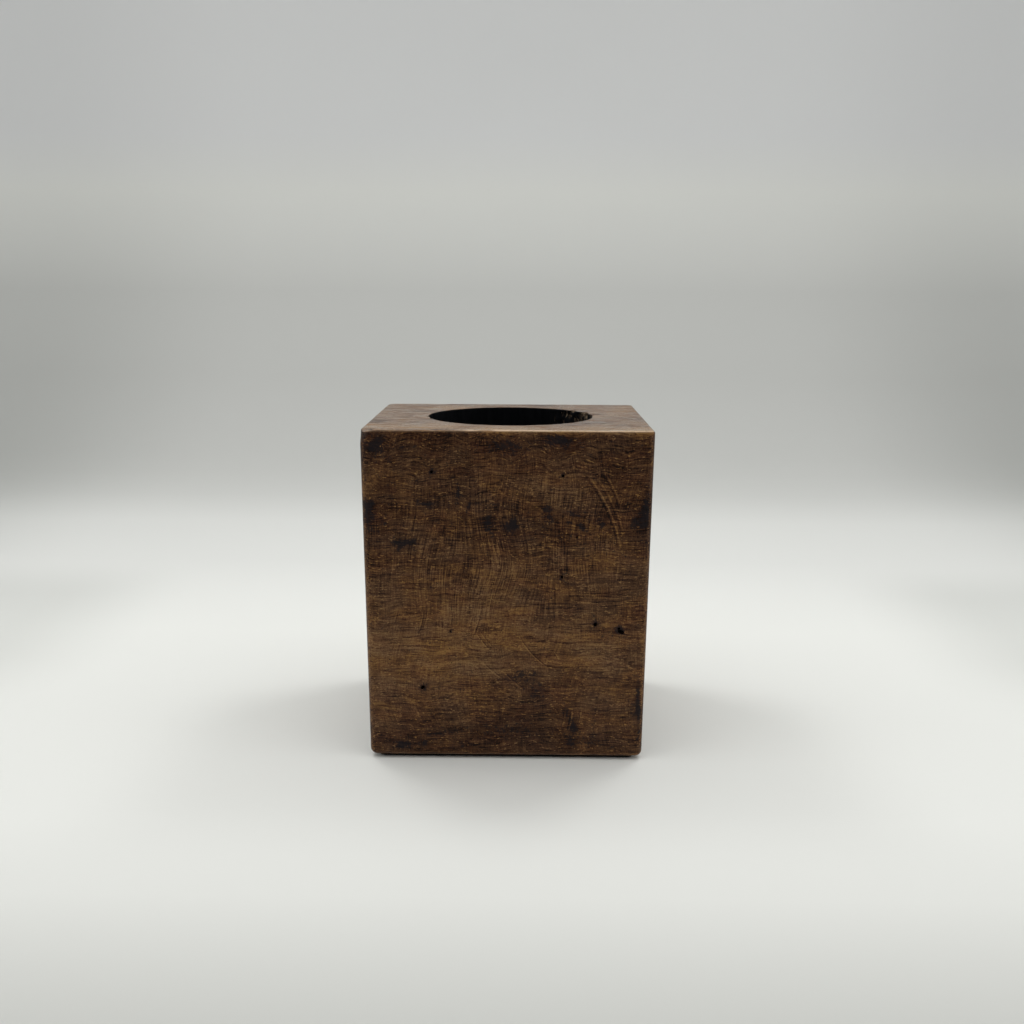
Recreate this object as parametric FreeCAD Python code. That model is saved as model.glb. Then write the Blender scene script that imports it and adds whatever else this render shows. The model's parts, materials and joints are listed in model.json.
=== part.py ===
import FreeCAD, Part
import math
import os

# One-hole block candle holder, after the old wooden sugar moulds: a single block of stained
# timber with one wide blind bore in its top for a candle or a glass, on a thin felt base.
# Millimetres. +Z is up and the origin is the middle of the base, on the table.
# X runs along the grain, so the left and right faces are end grain. -Y is the front.

# The block. The long-grain faces are planed true, and both ends are sawn a little out of square.
BLOCK_WIDTH = 108.0          # along the grain, at the top
BLOCK_DEPTH = 95.2           # front face to back face
BLOCK_HEIGHT = 125.8         # the timber alone, without the felt
END_LEAN = 0.78              # degrees by which each sawn end closes in towards the base

# Edges, eased by hand with a rasp and sandpaper.
EASE_FRONT_LEFT = 3.1        # upright edges: the one that is handled most is the roundest
EASE_FRONT_RIGHT = 2.7
EASE_BACK = 2.8
EASE_TOP = 1.0               # round the top face, left almost crisp
EASE_BASE = 2.3              # round the underside

# The bore, cut with a multi-spur bit that was set by eye.
BORE_DIAMETER = 65.0
BORE_DEPTH = 90.0
BORE_RIGHT_OF_MIDDLE = 0.7
BORE_BEHIND_MIDDLE = 1.5
BORE_RIM_EASE = 0.6          # the mouth's sharp edge is broken with sandpaper
SPUR_PIT_DIAMETER = 6.0      # the dimple that the bit's centre point leaves in the floor
SPUR_PIT_DEPTH = 2.5
TOOTH_GROOVE_WIDTH = 0.9     # the V that the bit's outer teeth scribe round the floor
TOOTH_GROOVE_DEPTH = 0.5

# The felt, glued to the flat of the underside.
FELT_THICKNESS = 1.2
FELT_MARGIN = 0.5            # bare timber between the felt and the eased base edge
FELT_CORNER = 3.0

BASE_WIDTH = BLOCK_WIDTH - 2 * BLOCK_HEIGHT * math.tan(math.radians(END_LEAN))
BASE_Z = FELT_THICKNESS
TOP_Z = BASE_Z + BLOCK_HEIGHT
CUT_CLEAR = 5.0              # how far a cutter runs on above the face that it enters
NEAR = 0.01                  # an edge this close to a level lies on it


def vector(x, y, z):
    return FreeCAD.Vector(x, y, z)


def closed(corners):
    """The corners as one closed polygon."""
    return Part.makePolygon(corners + corners[:1])


def sawn_blank():
    """The timber as sawn: its front view, wider at the top, carried back by the depth."""
    front = -BLOCK_DEPTH / 2
    outline = closed([
        vector(-BASE_WIDTH / 2, front, BASE_Z),
        vector(BASE_WIDTH / 2, front, BASE_Z),
        vector(BLOCK_WIDTH / 2, front, TOP_Z),
        vector(-BLOCK_WIDTH / 2, front, TOP_Z),
    ])
    return Part.Face(outline).extrude(vector(0, BLOCK_DEPTH, 0))


def corner_edge(solid, x_side, y_side):
    """The sharp upright edge at one corner: no other upright edge is as far out that way."""
    uprights = [edge for edge in solid.Edges if edge.BoundBox.ZLength > edge.BoundBox.XLength
                and edge.BoundBox.ZLength > edge.BoundBox.YLength]
    return max(uprights, key=lambda edge: x_side * edge.CenterOfMass.x + y_side * edge.CenterOfMass.y)


def eased(blank):
    """The blank with its four upright edges rounded first, and then the top and the base."""
    for x_side, y_side, radius in (
        (-1, -1, EASE_FRONT_LEFT),
        (1, -1, EASE_FRONT_RIGHT),
        (-1, 1, EASE_BACK),
        (1, 1, EASE_BACK),
    ):
        blank = blank.makeFillet(radius, [corner_edge(blank, x_side, y_side)])
    top = [edge for edge in blank.Edges if edge.BoundBox.ZMin > TOP_Z - NEAR]
    blank = blank.makeFillet(EASE_TOP, top)
    base = [edge for edge in blank.Edges if edge.BoundBox.ZMax < BASE_Z + NEAR]
    return blank.makeFillet(EASE_BASE, base)


def bore_cutter():
    """What the bit removes: half of its section, turned about the bore's axis."""
    radius = BORE_DIAMETER / 2
    floor = TOP_Z - BORE_DEPTH
    above = TOP_Z + CUT_CLEAR
    rim = radius + BORE_RIM_EASE
    shoulder = TOP_Z - BORE_RIM_EASE
    bulge = BORE_RIM_EASE * (1 - math.cos(math.radians(45)))

    wall = [
        vector(0, 0, floor - SPUR_PIT_DEPTH),
        vector(SPUR_PIT_DIAMETER / 2, 0, floor),
        vector(radius - TOOTH_GROOVE_WIDTH, 0, floor),
        vector(radius - TOOTH_GROOVE_WIDTH / 2, 0, floor - TOOTH_GROOVE_DEPTH),
        vector(radius, 0, floor),
        vector(radius, 0, shoulder),
    ]
    outside = [vector(rim, 0, TOP_Z), vector(rim, 0, above), vector(0, 0, above), wall[0]]
    rounding = Part.Arc(wall[-1], vector(radius + bulge, 0, TOP_Z - bulge), outside[0])

    edges = Part.makePolygon(wall).Edges + [rounding.toShape()] + Part.makePolygon(outside).Edges
    section = Part.Face(Part.Wire(edges))
    cutter = section.revolve(vector(0, 0, 0), vector(0, 0, 1), 360)
    cutter.translate(vector(BORE_RIGHT_OF_MIDDLE, BORE_BEHIND_MIDDLE, 0))
    return cutter


def wood_block():
    """The eased timber with its bore."""
    return eased(sawn_blank()).cut(bore_cutter())


def base_felt():
    """A sheet cut to the flat of the underside, with its corners snipped round."""
    x = BASE_WIDTH / 2 - EASE_BASE - FELT_MARGIN
    y = BLOCK_DEPTH / 2 - EASE_BASE - FELT_MARGIN
    outline = closed([vector(-x, -y, 0), vector(x, -y, 0), vector(x, y, 0), vector(-x, y, 0)])
    sheet = Part.Face(outline).extrude(vector(0, 0, FELT_THICKNESS))
    corners = [edge for edge in sheet.Edges if edge.BoundBox.ZLength > FELT_THICKNESS / 2]
    return sheet.makeFillet(FELT_CORNER, corners)


def main():
    os.makedirs("parts", exist_ok=True)
    for name, make in (("wood_block", wood_block), ("base_felt", base_felt)):
        solids = make().Solids
        assert len(solids) == 1 and solids[0].isValid(), name + " is not one sound solid"
        solids[0].exportStep("parts/" + name + ".step")
        box = solids[0].BoundBox
        sizes = "%.1f x %.1f x %.1f mm" % (box.XLength, box.YLength, box.ZLength)
        print(name, sizes, "%.1f cm3" % (solids[0].Volume / 1000))


main()
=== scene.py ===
# %% [markdown]
# # A one-hole block candle holder
#
# One block of old timber, after the wooden moulds that cane sugar was once cast in: a wide
# blind bore takes the candle, dark stain and wax finish the wood, and a sheet of black felt
# keeps the base off the table. The construction comes from the CAD frame, which this lesson
# only reads. Loading it first means that every size below is measured and not guessed.

# %% Load the frame
import json
import math

import bpy
from mathutils import Matrix, Vector, noise


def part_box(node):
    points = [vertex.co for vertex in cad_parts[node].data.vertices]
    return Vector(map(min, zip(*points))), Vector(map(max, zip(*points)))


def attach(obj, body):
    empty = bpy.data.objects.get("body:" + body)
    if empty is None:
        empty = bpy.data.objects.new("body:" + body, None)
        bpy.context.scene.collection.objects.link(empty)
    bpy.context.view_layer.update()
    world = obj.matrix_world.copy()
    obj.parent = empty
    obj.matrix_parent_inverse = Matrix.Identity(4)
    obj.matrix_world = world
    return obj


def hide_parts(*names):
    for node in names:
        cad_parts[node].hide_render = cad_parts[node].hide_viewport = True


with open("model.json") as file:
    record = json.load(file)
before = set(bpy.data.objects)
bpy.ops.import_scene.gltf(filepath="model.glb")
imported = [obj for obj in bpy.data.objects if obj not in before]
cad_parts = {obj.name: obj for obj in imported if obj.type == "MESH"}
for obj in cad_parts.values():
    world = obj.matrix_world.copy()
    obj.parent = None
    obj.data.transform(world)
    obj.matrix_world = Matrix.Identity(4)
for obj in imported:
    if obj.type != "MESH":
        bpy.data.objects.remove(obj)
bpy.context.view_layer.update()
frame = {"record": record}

# %% [markdown]
# ## The sizes that the looks need
#
# A maker thinks of this block in millimetres, and Blender counts in metres, so lengths are
# written in millimetres and multiplied by one named factor where a mesh is made. Heights
# and widths come from the frame's boxes and the bore from its mount. Only what a box can't
# tell is written again here: how far the ends lean and how round each edge was sanded.

# %% Sizes
MM = 0.001

block_low, block_high = (Vector(corner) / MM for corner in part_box("wood_block"))
felt_low, felt_high = (Vector(corner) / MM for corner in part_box("base_felt"))
BASE, TOP = block_low.z, block_high.z
HALF_DEPTH = block_high.y
TOP_HALF_WIDTH = block_high.x

bore_mount = next(m for m in frame["record"]["mounts"] if m["name"] == "candle_bore")
BORE_CENTRE = Vector(bore_mount["pos_m"]).xy / MM
BORE_RADIUS = bore_mount["dims"]["r_mm"]
BORE_DEPTH = 90.0

END_LEAN = 0.78         # degrees by which each sawn end closes in towards the base
EASE_TOP = 1.0          # radius of the edge round the top
EASE_BASE = 2.3         # radius of the edge round the underside
EASE_RIM = 0.6          # radius of the bore's mouth
print("block %.1f x %.1f x %.1f mm, bore %.1f mm wide"
      % (2 * TOP_HALF_WIDTH, 2 * HALF_DEPTH, TOP - BASE, 2 * BORE_RADIUS))

# %% [markdown]
# ## The camera
#
# The camera comes before any looks, because how coarse a grain or a scratch has to be
# depends on how near it is seen. It stands a little above the block and looks slightly down
# at the front face. The heading, the tilt and a third of a degree of roll are kept apart as
# three named angles, and the lens is that of a phone held about half a metre away.

# %% Camera
CAMERA_PLACE = Vector((5.7, -463.6, 178.9))     # mm
LOOK_DOWN = 11.64                               # degrees
HEADING = 0.52
ROLL = 0.29
LENS = 40.55                                    # mm, on a sensor 36 mm wide
SHIFT_UP = 0.0098                               # share of the frame

camera_data = bpy.data.cameras.new("camera")
camera_data.sensor_width = 36.0
camera_data.lens = LENS
camera_data.shift_y = SHIFT_UP
camera_data.clip_start = 0.01
camera = bpy.data.objects.new("camera", camera_data)
camera.matrix_world = (
    Matrix.Translation(CAMERA_PLACE * MM)
    @ Matrix.Rotation(math.radians(HEADING), 4, "Z")
    @ Matrix.Rotation(math.radians(90 - LOOK_DOWN), 4, "X")
    @ Matrix.Rotation(math.radians(ROLL), 4, "Z")
)
bpy.context.collection.objects.link(camera)
bpy.context.scene.camera = camera
print("camera at", [round(value, 4) for value in camera.location])

# %% [markdown]
# ## The helpers
#
# Every colour below is an sRGB hex value, as a paint chart gives it, and one function turns
# it to the linear light that shaders mix. Every node of every material and modifier is made
# by one other function: it sets the node's own settings, then gives each input a value or a
# link. The rest are short: a new finish to fill with nodes, the place of a point in
# millimetres for its patterns, and a mesh object made from points and faces.

# %% Helpers
def srgb(hex_colour):
    """An sRGB hex colour as linear red, green, blue and an alpha of 1."""
    channels = [int(hex_colour[i:i + 2], 16) / 255 for i in (0, 2, 4)]
    return [c / 12.92 if c <= 0.04045 else ((c + 0.055) / 1.055) ** 2.4 for c in channels] + [1.0]


def add(tree, kind, values=(), out=None, stops=(), **settings):
    """One new node. The values go to inputs by name, or in order where they are a list."""
    node = tree.nodes.new(kind)
    for name, value in settings.items():
        setattr(node, name, value)
    for position, _ in stops[2:]:
        node.color_ramp.elements.new(position)
    ramp = node.color_ramp.elements if stops else ()
    for element, (position, colour) in zip(ramp, sorted(stops)):
        element.position = position
        element.color = srgb(colour)
    for name, value in (values.items() if isinstance(values, dict) else enumerate(values)):
        named = [s for s in node.inputs if s.enabled and s.name == name]
        socket = named[0] if named else node.inputs[name]
        if isinstance(value, bpy.types.NodeSocket):
            tree.links.new(value, socket)
        else:
            socket.default_value = value
    if out:
        return node.outputs[out]
    return next((s for s in node.outputs if s.enabled), None)


def new_finish(name):
    """A new material with its nodes switched on, its tree and its shader."""
    finish = bpy.data.materials.new(name)
    finish.use_nodes = True
    return finish, finish.node_tree, finish.node_tree.nodes["Principled BSDF"]


def place_in_mm(tree):
    """Where a point of the object lies, in millimetres."""
    place = add(tree, "ShaderNodeTexCoord", out="Object")
    return add(tree, "ShaderNodeVectorMath", {"Vector": place, "Scale": 1 / MM}, operation="SCALE")


def mesh_object(name, points, faces):
    """A mesh object at the origin, from points in millimetres."""
    mesh = bpy.data.meshes.new(name)
    mesh.from_pydata([Vector(point) * MM for point in points], [], faces)
    mesh.polygons.foreach_set("use_smooth", [True] * len(mesh.polygons))
    made = bpy.data.objects.new(name, mesh)
    bpy.context.collection.objects.link(made)
    return made


print("helpers ready; mid grey is", [round(value, 3) for value in srgb("808080")])

# %% [markdown]
# ## The sweep that it stands on
#
# Small products are shot on a sheet of white paper that rolls up behind them, so the floor
# has no far edge. The sheet is one profile, a flat run, a quarter round and a wall, drawn
# out sideways. Light paper in a tent is never lit evenly, so its shade changes along its
# length and towards its sides. That is painted in its colour, and costs the object no light.

# %% Sweep
FLOOR_FRONT, FLOOR_BACK, WALL_TOP, SWEEP_HALF_WIDTH = -1500.0, 600.0, 2200.0, 2500.0
SWEEP_ROUND = 350.0
SWEEP_ARC = [math.radians(angle) for angle in range(0, 91, 6)]

sweep_profile = [(FLOOR_FRONT, 0.0)]
sweep_profile += [(FLOOR_BACK + SWEEP_ROUND * math.sin(angle), SWEEP_ROUND * (1 - math.cos(angle)))
                  for angle in SWEEP_ARC]
sweep_profile += [(FLOOR_BACK + SWEEP_ROUND, WALL_TOP)]
sweep_points = [(side * SWEEP_HALF_WIDTH, y, z) for y, z in sweep_profile for side in (-1, 1)]
sweep_faces = [(low, low + 1, low + 3, low + 2)
               for low in range(0, 2 * len(sweep_profile) - 2, 2)]
sweep = mesh_object("paper_sweep", sweep_points, sweep_faces)
print("sweep with", len(sweep_faces), "panels")

# %% [markdown]
# ## Paper
#
# The paper is a plain white card with a faint warm green cast. Two things change its shade:
# how far along the sheet a point lies, which is its Y plus its Z here, and, behind the
# block, how far out to the side it lies.

# %% Paper
PAPER_SHADES = (        # mm along the sheet, Y plus Z, and the shade there
    (-240, "c4c5c0"), (-150, "ebece7"), (-100, "f2f3ee"), (120, "f2f3ee"), (276, "e6e7e3"),
    (406, "e5e6e2"), (520, "dadbd7"), (700, "d4d5d1"), (900, "d4d5d1"), (1073, "dddeda"),
    (1231, "fdfef9"), (1300, "feffff"),
)
SHEET_START, SHEET_END = PAPER_SHADES[0][0], PAPER_SHADES[-1][0]
LEVEL_PART_MIDDLE = 130.0       # mm along the sheet, where it is shaded beside the block
SHADED_PAPER = "dadbda"

paper, tree, paper_shader = new_finish("white_card_paper")
place = place_in_mm(tree)
axes = add(tree, "ShaderNodeSeparateXYZ", [place]).node.outputs
along = add(tree, "ShaderNodeMath", [axes["Y"], axes["Z"]], operation="ADD")
aside = add(tree, "ShaderNodeMath", [axes["X"]], operation="ABSOLUTE")
share = add(tree, "ShaderNodeMapRange", {
    "Value": along, "From Min": SHEET_START, "From Max": SHEET_END})
paper_tone = add(tree, "ShaderNodeValToRGB", {"Fac": share}, stops=[
    ((where - SHEET_START) / (SHEET_END - SHEET_START), shade) for where, shade in PAPER_SHADES])
far_out = add(tree, "ShaderNodeMapRange", {
    "Value": aside, "From Min": 290.0, "From Max": 560.0,
}, interpolation_type="SMOOTHSTEP")
far_back = add(tree, "ShaderNodeMapRange", {"Value": along, "From Min": 0.0, "From Max": 220.0})
low_down = add(tree, "ShaderNodeMapRange", {
    "Value": along, "From Min": 550.0, "From Max": 1250.0, "To Min": 1.0, "To Max": 0.25})
side_shade = add(tree, "ShaderNodeMath", [far_out, far_back], operation="MULTIPLY")
side_shade = add(tree, "ShaderNodeMath", [side_shade, low_down], operation="MULTIPLY")
beside = add(tree, "ShaderNodeMapRange", {
    "Value": aside, "From Min": 185.0, "From Max": 270.0, "To Max": 0.5,
}, interpolation_type="SMOOTHSTEP")
off_level = add(tree, "ShaderNodeMath", [along, LEVEL_PART_MIDDLE], operation="SUBTRACT")
off_level = add(tree, "ShaderNodeMath", [off_level], operation="ABSOLUTE")
level_part = add(tree, "ShaderNodeMapRange", {
    "Value": off_level, "From Min": 150.0, "From Max": 50.0,
}, interpolation_type="SMOOTHSTEP")
side_shade = add(tree, "ShaderNodeMath", [beside, level_part, side_shade], operation="MULTIPLY_ADD",
                 use_clamp=True)
paper_colour = add(tree, "ShaderNodeMix", {
    "Factor": side_shade, "A": paper_tone, "B": srgb(SHADED_PAPER),
}, data_type="RGBA", blend_type="MULTIPLY")
tree.links.new(paper_colour, paper_shader.inputs["Base Color"])
paper_shader.inputs["Roughness"].default_value = 0.85
paper_shader.inputs["Specular IOR Level"].default_value = 0.2
sweep.data.materials.append(paper)
print("paper with", len(tree.nodes), "nodes")

# %% [markdown]
# ## The light
#
# A light tent gives two things: an even glow from all round, which is the world here, and a
# pair of weak lamps in its roof. The glow has a strength of one, the plain level at which a
# colour renders as it is written, and is dim only towards the open front. The lamps hang to
# the left and right and a little behind the block, so two soft shadows spread forward.

# %% Lamps and world
LAMP_PLACE = Vector((240.0, 200.0, 600.0))
LAMP_SIZE = 150.0
LAMP_WATTS = 0.6
LAMP_TARGET = Vector((0.0, 0.0, 60.0))
OPENING = (60.0, 35.0)              # degrees from straight ahead: where it starts, where it is full
OPENING_LIGHT = 0.15
TENT_GREY = "d8d9d5"                # what the camera sees of the glow itself

for side, name in ((-1, "left_lamp"), (1, "right_lamp")):
    lamp_data = bpy.data.lights.new(name, "AREA")
    lamp_data.size = LAMP_SIZE * MM
    lamp_data.energy = LAMP_WATTS
    lamp = bpy.data.objects.new(name, lamp_data)
    place = Vector((side * LAMP_PLACE.x, LAMP_PLACE.y, LAMP_PLACE.z))
    lamp.location = place * MM
    lamp.rotation_euler = (LAMP_TARGET - place).to_track_quat("-Z", "Y").to_euler()
    bpy.context.collection.objects.link(lamp)

world = bpy.data.worlds.new("tent_glow")
bpy.context.scene.world = world
world.use_nodes = True
tree = world.node_tree
ahead = add(tree, "ShaderNodeVectorMath", {
    0: add(tree, "ShaderNodeTexCoord"), 1: (0, -1, 0),
}, out="Value", operation="DOT_PRODUCT")
glow = add(tree, "ShaderNodeMapRange", {
    "Value": ahead, "From Min": math.cos(math.radians(OPENING[0])),
    "From Max": math.cos(math.radians(OPENING[1])), "To Min": 1.0, "To Max": OPENING_LIGHT,
}, interpolation_type="SMOOTHSTEP")
seen = add(tree, "ShaderNodeLightPath", out="Is Camera Ray")
glow = add(tree, "ShaderNodeMix", {
    "Factor": seen, "A": glow, "B": srgb(TENT_GREY),
}, data_type="RGBA")
tree.links.new(glow, tree.nodes["Background"].inputs["Color"])
bpy.context.scene.view_settings.view_transform = "Standard"
print("two lamps of", LAMP_WATTS, "W and a glow of", world.name)

# %% [markdown]
# ## The block, drawn as rings
#
# The block is bored inside and sawn outside, so neither a box nor a cylinder makes it. One
# closed skin does: a stack of rings with the same number of points each, which starts at
# the middle of the underside, runs up the four walls, over the top, down the bore and ends
# at the dimple in its floor. Quads join each ring to the next, and nothing is left open.
# The next cell draws one ring of the outside: straight sides between four round corners.
# The felt has the same plan with other sizes, so the function takes them all.

# %% Ring of the outside
CORNER_SIDES = ((-1, -1), (1, -1), (1, 1), (-1, 1))     # of X and Y, from the front left
CORNER_RADII = (3.1, 2.7, 2.8, 2.8)
CORNER_STEPS = 7
SIDE_STEPS = (108, 100)         # points along the front and the back, and along each end


def half_width(level):
    """Half the block's width at a height, as the sawn ends lean in towards the base."""
    return TOP_HALF_WIDTH - (TOP - level) * math.tan(math.radians(END_LEAN))


def rounded_ring(half_x, half_y, level, radii, corner_steps, side_steps, inset=0.0):
    """Points round a rectangle with round corners, anticlockwise from its front left corner."""
    arcs = []
    for turn, ((side_x, side_y), radius) in enumerate(zip(CORNER_SIDES, radii)):
        centre = Vector((side_x * (half_x - radius), side_y * (half_y - radius), level))
        angles = [math.radians(180 + 90 * (turn + step / corner_steps))
                  for step in range(corner_steps + 1)]
        arcs.append([centre + (radius - inset) * Vector((math.cos(a), math.sin(a), 0))
                     for a in angles])
    ring = []
    for turn, arc in enumerate(arcs):
        start, end, steps = arc[-1], arcs[(turn + 1) % 4][0], side_steps[turn % 2]
        ring += arc[:-1] + [start.lerp(end, step / steps) for step in range(steps)]
    return ring


def outline(level, inset=0.0):
    """One ring round the block at a height, drawn in from its faces by the inset."""
    return rounded_ring(half_width(level), HALF_DEPTH, level, CORNER_RADII, CORNER_STEPS,
                        SIDE_STEPS, inset)


print("each ring has", len(outline(TOP)), "points")

# %% [markdown]
# ## The block's skin
#
# The rest of the stack is short lists of steps: quarter rounds at the base and the top,
# levels up the walls, a fan of rings across the top that ends on the bore's circle, then the
# bore's own levels, which crowd together near the mouth where the torn grain shows. The
# rings of the bore keep the directions of the outer points, so no quad is twisted.

# %% Steps of the skin
def quarter(radius, steps):
    """(inset, fall) pairs over a quarter round, from the flat face to the wall."""
    angles = [math.radians(90 * step / steps) for step in range(steps + 1)]
    return [(radius * (1 - math.sin(a)), radius * (1 - math.cos(a))) for a in angles]


def levels(start, end, count, crowd=1.0):
    """Heights from start to end, crowded towards the start where crowd is above 1."""
    return [start + (end - start) * (step / count) ** crowd for step in range(1, count + 1)]


mouth_directions = [(point.xy - BORE_CENTRE).normalized() for point in outline(TOP, EASE_TOP)]


def bore_ring(radius, level):
    """One ring of the bore."""
    return [(BORE_CENTRE + radius * way).to_3d() + Vector((0, 0, level))
            for way in mouth_directions]


print("the mouth has", len(mouth_directions), "directions")

# %% Rings of the block
BORE_FLOOR = TOP - BORE_DEPTH
GROOVE_HALF_WIDTH, GROOVE_DEPTH = 0.45, 0.5     # the V that the bit's teeth cut round the floor
PIT_RADIUS, PIT_DEPTH = 3.0, 2.5                # where the bit's centre went in
FLOOR_RADII = (26, 20, 14, 9, PIT_RADIUS)
UNDERSIDE_SHARES = (0.2, 0.4, 0.6, 0.8, 0.94)
WALL_RINGS, TOP_RINGS, BORE_RINGS, BORE_CROWD = 84, 14, 42, 1.5

base_rounding = [(inset, BASE + fall) for inset, fall in quarter(EASE_BASE, 6)]
top_rounding = [(inset, TOP - fall) for inset, fall in reversed(quarter(EASE_TOP, 5))]
rim_rounding = [(BORE_RADIUS + EASE_RIM - EASE_RIM * math.sin(math.radians(a)),
                 TOP - EASE_RIM * (1 - math.cos(math.radians(a)))) for a in (0, 30, 60, 90)]

underside = outline(BASE, EASE_BASE)
rings = [[point.xy.to_3d() * share + Vector((0, 0, BASE)) for point in underside]
         for share in UNDERSIDE_SHARES]
rings += [outline(level, inset) for inset, level in base_rounding]
rings += [outline(level) for level in levels(BASE + EASE_BASE, TOP - EASE_TOP, WALL_RINGS)]
rings += [outline(level, inset) for inset, level in top_rounding[1:]]
mouth = bore_ring(*rim_rounding[0])
rings += [[a.lerp(b, step / TOP_RINGS) for a, b in zip(outline(TOP, EASE_TOP), mouth)]
          for step in range(1, TOP_RINGS)]
rings += [bore_ring(radius, level) for radius, level in rim_rounding]
rings += [bore_ring(BORE_RADIUS, level)
          for level in levels(TOP - EASE_RIM, BORE_FLOOR, BORE_RINGS, BORE_CROWD)]
rings += [bore_ring(BORE_RADIUS - GROOVE_HALF_WIDTH, BORE_FLOOR - GROOVE_DEPTH)]
rings += [bore_ring(BORE_RADIUS - 2 * GROOVE_HALF_WIDTH, BORE_FLOOR)]
rings += [bore_ring(radius, BORE_FLOOR) for radius in FLOOR_RADII]
rings += [bore_ring(PIT_RADIUS / 2, BORE_FLOOR - PIT_DEPTH / 2)]
print(len(rings), "rings of", len(underside), "points")

# %% Skin
def closed_skin(name, rings, first_pole, last_pole):
    """A closed skin over rings of equally many points, with a fan to a point at each end."""
    around = len(rings[0])
    points = [point for ring in rings for point in ring] + [first_pole, last_pole]
    faces = [(low + i, low + (i + 1) % around, low + around + (i + 1) % around, low + around + i)
             for low in range(0, around * (len(rings) - 1), around) for i in range(around)]
    last_ring = around * (len(rings) - 1)
    faces += [(len(points) - 2, (i + 1) % around, i) for i in range(around)]
    faces += [(len(points) - 1, last_ring + i, last_ring + (i + 1) % around) for i in range(around)]
    return mesh_object(name, points, faces)


pit_bottom = BORE_CENTRE.to_3d() + Vector((0, 0, BORE_FLOOR - PIT_DEPTH))
block = closed_skin("timber_block", rings, Vector((0, 0, BASE)), pit_bottom)
print("a skin of", len(block.data.polygons), "faces")

# %% [markdown]
# ## Where beetles and nails went in
#
# Old timber has flight holes of wood beetles, nail holes and small gouges. They are real
# dents, so they are cut and not painted: one tapered plug for each, all in one mesh, and a
# Boolean modifier takes that mesh out of the block. Each hole is placed on a face, so each
# face gets two directions to count along and the point where its middle lies.

# %% Where the holes are
FACES = {       # the way along, the way up, and from the block's middle out to the face
    "front": (Vector((1, 0, 0)), Vector((0, 0, 1)), Vector((0, -HALF_DEPTH, 0))),
    "back": (Vector((-1, 0, 0)), Vector((0, 0, 1)), Vector((0, HALF_DEPTH, 0))),
    "left": (Vector((0, -1, 0)), Vector((0, 0, 1)), Vector((-TOP_HALF_WIDTH, 0, 0))),
    "right": (Vector((0, 1, 0)), Vector((0, 0, 1)), Vector((TOP_HALF_WIDTH, 0, 0))),
    "top": (Vector((1, 0, 0)), Vector((0, 1, 0)), Vector((0, 0, TOP))),
}
HOLES = (       # face, along, up, half width, half height, turn in degrees, depth
    ("front", -27.6, 111.7, 0.60, 0.55, 0, 3.0), ("front", 20.5, 110.5, 0.50, 0.50, 0, 3.5),
    ("front", -31.6, 28.8, 0.85, 0.75, 20, 3.5), ("front", 43.0, 51.3, 1.35, 0.75, -20, 2.5),
    ("front", 42.2, 52.6, 0.45, 0.45, 0, 1.8), ("front", 33.4, 54.2, 0.80, 0.70, 30, 2.5),
    ("front", 20.6, 72.5, 0.45, 0.70, 0, 2.0), ("front", -21.0, 51.1, 0.35, 0.30, 0, 1.5),
    ("front", 26.0, 87.6, 0.40, 0.35, 0, 1.5), ("top", 34.9, 8.4, 3.30, 0.55, 43, 2.4),
    ("back", 17.0, 88.0, 0.80, 0.80, 0, 4.0), ("back", -30.0, 96.5, 0.55, 0.60, 0, 3.0),
    ("back", -8.5, 33.0, 0.70, 0.65, 0, 3.5), ("back", 36.0, 21.0, 1.20, 0.60, 35, 2.0),
    ("left", 12.0, 79.0, 0.70, 0.70, 0, 4.0), ("left", -21.0, 40.0, 2.60, 0.30, 74, 3.0),
    ("right", -14.0, 58.0, 0.75, 0.70, 0, 4.0), ("right", 18.0, 104.0, 3.80, 0.26, 81, 3.0),
)
print(len(HOLES), "holes on", len({face for face, *_ in HOLES}), "faces")

# %% Plugs
HOLE_SIDES = 14
TAPER = ((0.0, 1.0), (0.45, 0.8), (1.0, 0.45))      # share of the depth, and of the width there
OUTSIDE = (1.0, 1.15)           # how far a plug stands out of the wood in mm, and its width there
WOBBLE = 0.22


def plug(face, along, up, half_width, half_height, turn, depth):
    """Points and faces of one tapered plug that enters a face there."""
    way_along, way_up, middle = FACES[face]
    across = Matrix.Rotation(math.radians(turn), 2)
    rows = [(-OUTSIDE[0], OUTSIDE[1])] + [(deep * depth, share) for deep, share in TAPER]
    points = []
    for reach, share in rows:
        for step in range(HOLE_SIDES):
            a = 2 * math.pi * step / HOLE_SIDES
            c, s = math.cos(a), math.sin(a)
            wobble = share * (1 + WOBBLE * noise.noise(Vector((3 * c, 3 * s, along + up))))
            u, w = across @ Vector((half_width * wobble * c, half_height * wobble * s))
            points.append(middle + way_along * (along + u) + way_up * (up + w)
                          - middle.normalized() * reach)
    starts = range(0, HOLE_SIDES * len(TAPER), HOLE_SIDES)
    faces = [(low + i, low + HOLE_SIDES + i, low + HOLE_SIDES + (i + 1) % HOLE_SIDES,
              low + (i + 1) % HOLE_SIDES) for low in starts for i in range(HOLE_SIDES)]
    caps = [tuple(range(HOLE_SIDES)), tuple(reversed(range(len(points) - HOLE_SIDES, len(points))))]
    return points, faces + caps


plug_points, plug_faces = [], []
for hole in HOLES:
    points, faces = plug(*hole)
    plug_faces += [tuple(index + len(plug_points) for index in face) for face in faces]
    plug_points += points
plugs = mesh_object("hole_plugs", plug_points, plug_faces)
print("plugs with", len(plug_faces), "faces")

# %% Cut the holes
def settle(piece):
    """Swap a piece's mesh for what its modifiers make of it, and take them off."""
    depsgraph = bpy.context.evaluated_depsgraph_get()
    evaluated = piece.evaluated_get(depsgraph)
    piece.data = bpy.data.meshes.new_from_object(evaluated, depsgraph=depsgraph)
    piece.modifiers.clear()


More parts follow.
